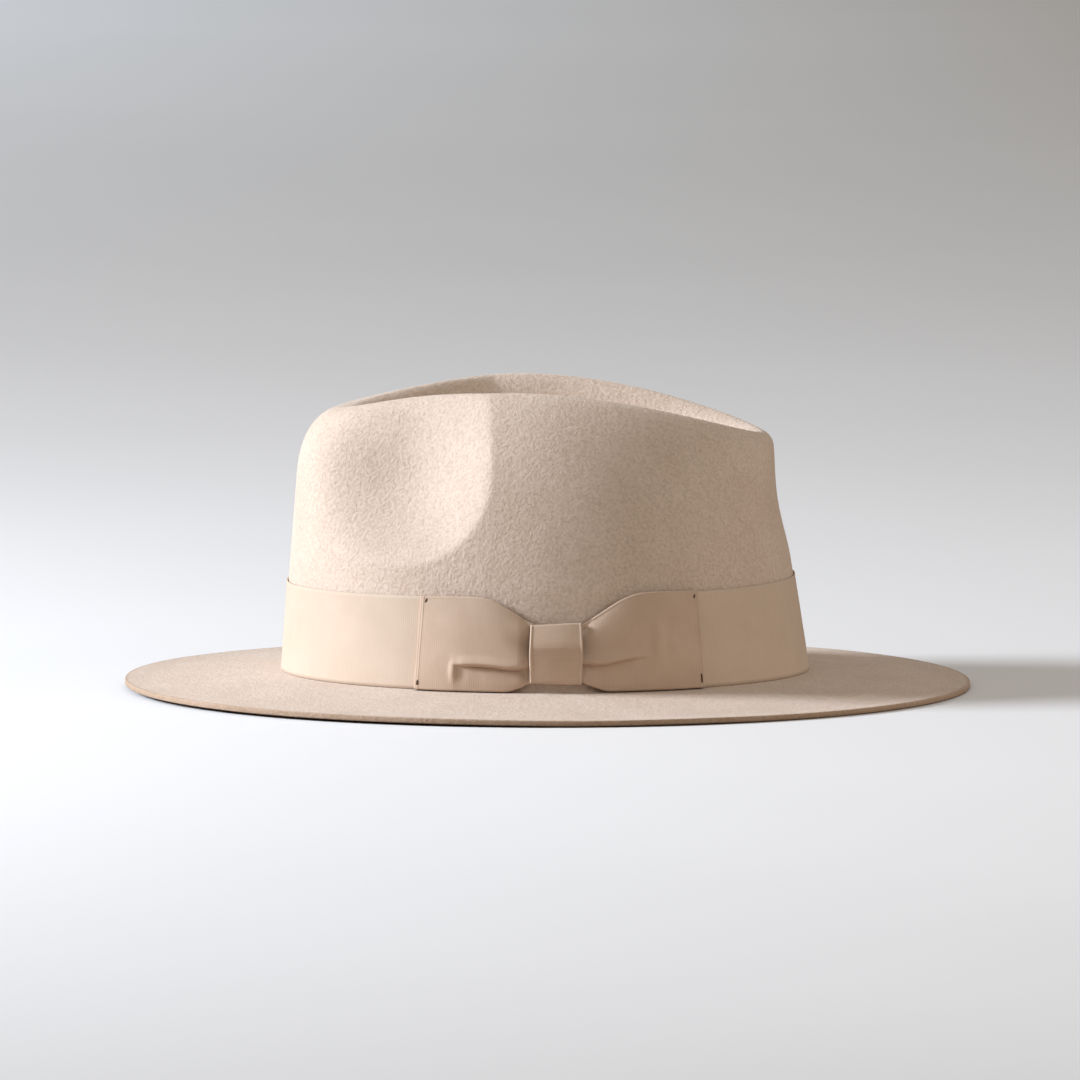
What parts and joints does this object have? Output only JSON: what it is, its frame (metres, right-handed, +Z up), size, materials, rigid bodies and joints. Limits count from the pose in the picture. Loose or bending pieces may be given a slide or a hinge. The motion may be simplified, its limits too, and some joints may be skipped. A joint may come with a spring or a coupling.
{
  "type": "fedora hat",
  "caption": "Felt fedora with a teardrop crown and front pinches, a level brim with a raw edge, a ribbed ribbon band with a flat side bow, and a lined inside.",
  "frame": {"origin": "middle of the brim outline, on the plane that the underside of the brim edge rests on", "axes": "-X to the front of the hat, -Y to the wearer's left (the bow side), +Z up"},
  "size_m": [0.332, 0.299, 0.1194],
  "materials": {
    "felt": "matt brushed felt",
    "ribbon": "fine ribbed ribbon, low sheen",
    "thread": "matt thread",
    "sweatband_leather": "smooth, satin",
    "reed": "satin",
    "tape": "matt woven tape",
    "inner_ribbon": "fine ribbed ribbon",
    "tab": "matt card",
    "lining": "satin weave"
  },
  "bodies": {
    "root": {"felt_body": "felt", "hatband_ribbon": "ribbon", "hatband_end_stitches": "thread", "bow_loops": "ribbon", "bow_knot": "ribbon", "bow_tack_stitches": "thread", "sweatband": "sweatband_leather", "sweatband_reed": "reed", "reed_tape": "tape", "sweatband_stitching": "thread", "sweatband_back_seam": "thread", "sweatband_bow_loops": "inner_ribbon", "sweatband_bow_knot": "inner_ribbon", "size_tab": "tab", "lining_side": "lining", "lining_tip": "lining"}
  },
  "joints": []
}
